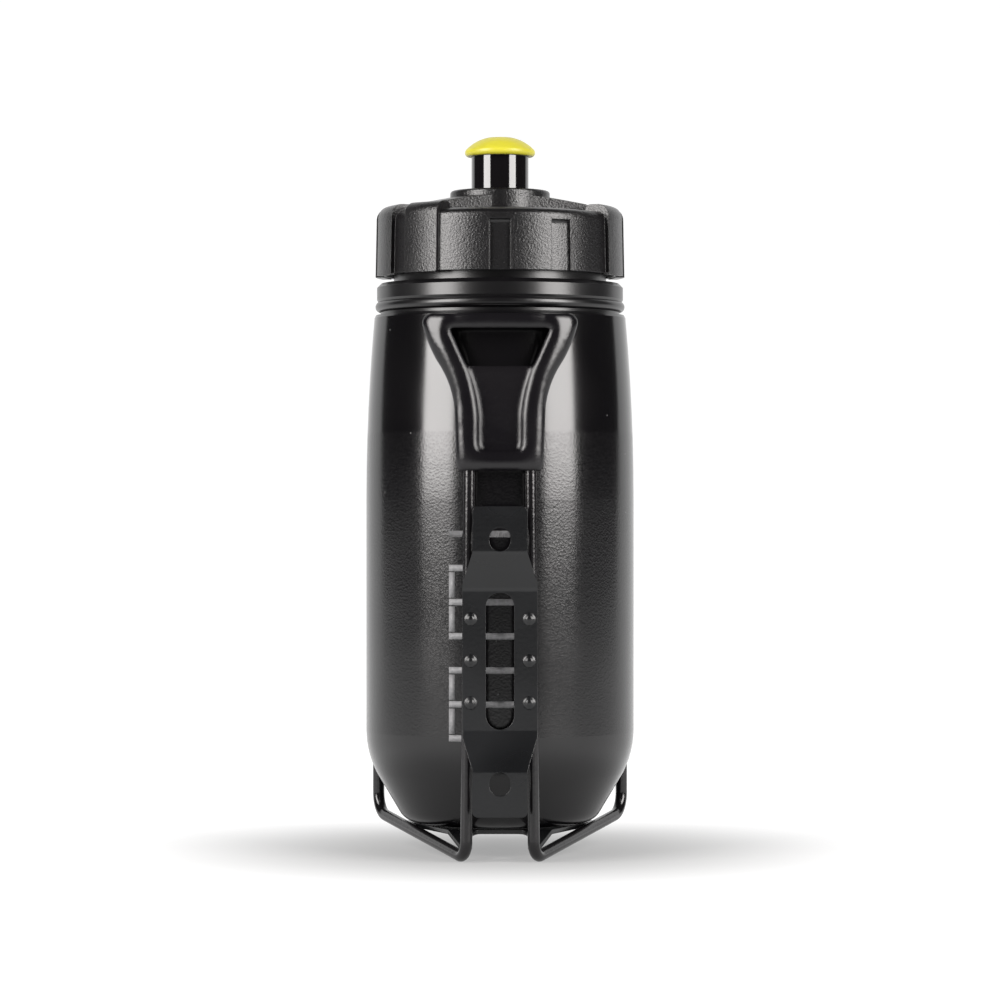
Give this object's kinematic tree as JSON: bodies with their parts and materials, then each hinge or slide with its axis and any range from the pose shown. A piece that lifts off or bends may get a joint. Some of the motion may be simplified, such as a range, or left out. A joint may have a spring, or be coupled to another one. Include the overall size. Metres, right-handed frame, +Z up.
{
  "type": "cycling water bottle with cage",
  "caption": "Squeeze bottle with a screw lid and a pull-up drinking valve, standing in a wire cage with a mounting plate and a moulded top clip.",
  "frame": {"origin": "midway between the two frame-bolt slots, on the outer face of the mounting plate's tabs", "axes": "+Z up along the bottle's axis; -Y out of the tabs' outer face, towards the bicycle frame; +X to the right when looking along +Y"},
  "size_m": [0.073, 0.0853, 0.1945],
  "materials": {
    "bottle_plastic": "satin, fine grain",
    "lid_plastic": "spark-eroded texture",
    "tube_plastic": "polished",
    "mouthpiece_rubber": "soft satin",
    "seal_rubber": "matte",
    "wire_paint": "gloss paint",
    "plate_paint": "semi-gloss paint",
    "clip_vinyl": "gloss"
  },
  "bodies": {
    "cage": {"wire_left": "wire_paint", "wire_right": "wire_paint", "mounting_plate": "plate_paint", "base_plate": "plate_paint", "top_clip": "clip_vinyl"},
    "bottle": {"bottle_body": "bottle_plastic"},
    "lid_seal": {"lid_gasket": "seal_rubber"},
    "lid": {"lid_shell": "lid_plastic", "valve_insert": "tube_plastic"},
    "nozzle": {"nozzle_tube": "tube_plastic", "nozzle_seal": "seal_rubber", "mouthpiece": "mouthpiece_rubber"}
  },
  "joints": [
    {"name": "bottle_lift", "type": "slide", "parent": "cage", "child": "bottle", "axis": [0, 0, 1], "range_m": [0, 0.15]},
    {"name": "lid_rise", "type": "slide", "parent": "bottle", "child": "lid_seal", "axis": [0, 0, 1], "range_m": [0, 0.007]},
    {"name": "lid_turn", "type": "hinge", "parent": "lid_seal", "child": "lid", "pos_m": [0, 0.04528, 0.11], "axis": [0, 0, 1], "range_deg": [0, 540]},
    {"name": "valve_pull", "type": "slide", "parent": "lid", "child": "nozzle", "axis": [0, 0, 1], "range_m": [0, 0.007]}
  ],
  "couplings": [
    {"joint": "lid_rise", "follows": "lid_turn", "m_per_rad": 0.0007162}
  ]
}
